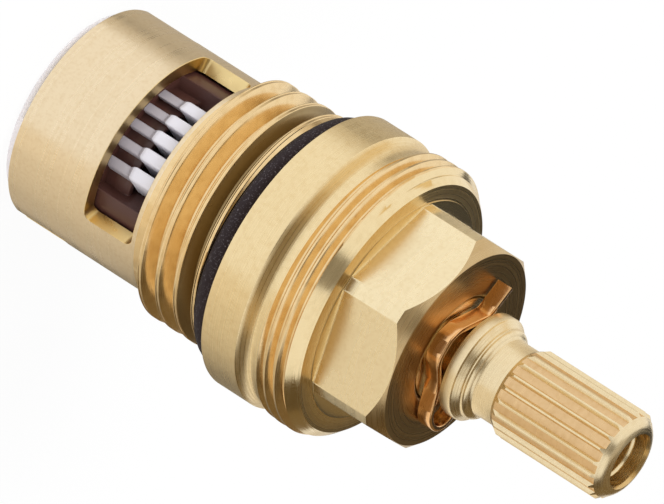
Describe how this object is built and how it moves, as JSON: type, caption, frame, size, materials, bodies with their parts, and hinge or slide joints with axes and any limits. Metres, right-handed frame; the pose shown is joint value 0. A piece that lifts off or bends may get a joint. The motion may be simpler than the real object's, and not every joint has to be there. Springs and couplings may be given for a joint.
{
  "type": "ceramic disc tap cartridge",
  "caption": "Quarter-turn ceramic disc tap cartridge: threaded brass body with side windows, flange and hexagon, splined spindle held by a spring clip, and a comb that steadies the outflow.",
  "frame": {"origin": "centre of the inlet seal's lower face, where the cartridge seats on the tap's inlet", "axes": "+Z along the spindle towards its tip; the front outlet window faces -Y"},
  "size_m": [0.0241, 0.024, 0.0559],
  "materials": {
    "turned_brass": "turned, satin bright",
    "spindle_brass": "turned and rolled, bright",
    "black_rubber": "moulded, matt",
    "white_seal_rubber": "moulded, silky",
    "grey_plastic": "moulded",
    "alumina": "sintered, lapped face",
    "brown_plastic": "moulded, satin",
    "white_plastic": "moulded, matt",
    "slip_plastic": "moulded, slippery",
    "spring_bronze": "rolled strip, bright"
  },
  "bodies": {
    "housing": {"valve_body": "turned_brass", "body_o_ring": "black_rubber", "inlet_seal": "white_seal_rubber", "seal_support_ring": "grey_plastic", "fixed_disc": "alumina", "thrust_washer": "slip_plastic"},
    "rotor": {"spindle": "spindle_brass", "disc_driver": "brown_plastic", "moving_disc": "alumina", "flow_comb_front": "white_plastic", "flow_comb_rear": "white_plastic", "spindle_o_ring_lower": "black_rubber", "spindle_o_ring_upper": "black_rubber", "retaining_clip": "spring_bronze"}
  },
  "joints": [
    {"name": "spindle_turn", "type": "hinge", "parent": "housing", "child": "rotor", "pos_m": [0, 0, 0.03], "axis": [0, 0, 1], "range_deg": [-90, 0]}
  ]
}
